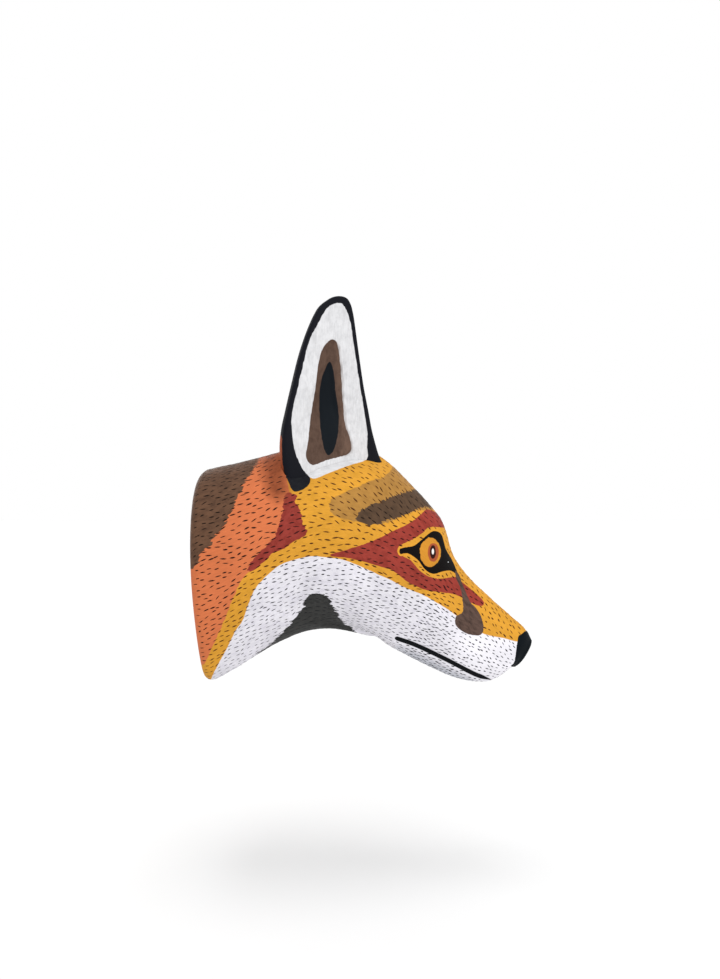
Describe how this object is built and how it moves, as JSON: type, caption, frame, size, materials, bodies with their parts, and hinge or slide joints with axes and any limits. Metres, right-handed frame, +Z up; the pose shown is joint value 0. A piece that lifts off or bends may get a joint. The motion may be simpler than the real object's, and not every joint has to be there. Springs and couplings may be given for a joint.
{
  "type": "wall-hung carved fox head",
  "caption": "Carved and painted wooden fox head with neck and tall hollow-faced ears that pull off on pegs, hung flush on a wall by a D-ring sunk in its flat back.",
  "frame": {"origin": "middle of the flat back face, on the wall, just below the hanger pocket", "axes": "+X out of the wall towards the nose, +Z up, +Y to the fox's left; the back face is the plane x = 0"},
  "size_m": [0.2015, 0.1102, 0.2309],
  "materials": {
    "painted_block": "matt acrylic paint over carved copal wood",
    "painted_ear": "matt acrylic paint over carved copal wood",
    "peg_wood": "bare turned dowel",
    "plated_steel": "zinc-plated steel"
  },
  "bodies": {
    "head": {"head_block": "painted_block", "hanger_strap": "plated_steel", "hanger_lower_screw": "plated_steel", "hanger_upper_screw": "plated_steel"},
    "left_ear": {"left_ear": "painted_ear", "left_ear_front_peg": "peg_wood", "left_ear_rear_peg": "peg_wood"},
    "right_ear": {"right_ear": "painted_ear", "right_ear_front_peg": "peg_wood", "right_ear_rear_peg": "peg_wood"},
    "ring": {"hanger_ring": "plated_steel"}
  },
  "joints": [
    {"name": "left_ear_pull", "type": "slide", "parent": "head", "child": "left_ear", "axis": [0.0262, 0.1218, 0.9922], "range_m": [0, 0.032]},
    {"name": "right_ear_pull", "type": "slide", "parent": "head", "child": "right_ear", "axis": [0.0262, -0.1218, 0.9922], "range_m": [0, 0.032]},
    {"name": "hanger_ring_swing", "type": "hinge", "parent": "head", "child": "ring", "pos_m": [0.0072, 0, 0.03], "axis": [0, -1, 0], "range_deg": [0, 165]}
  ]
}
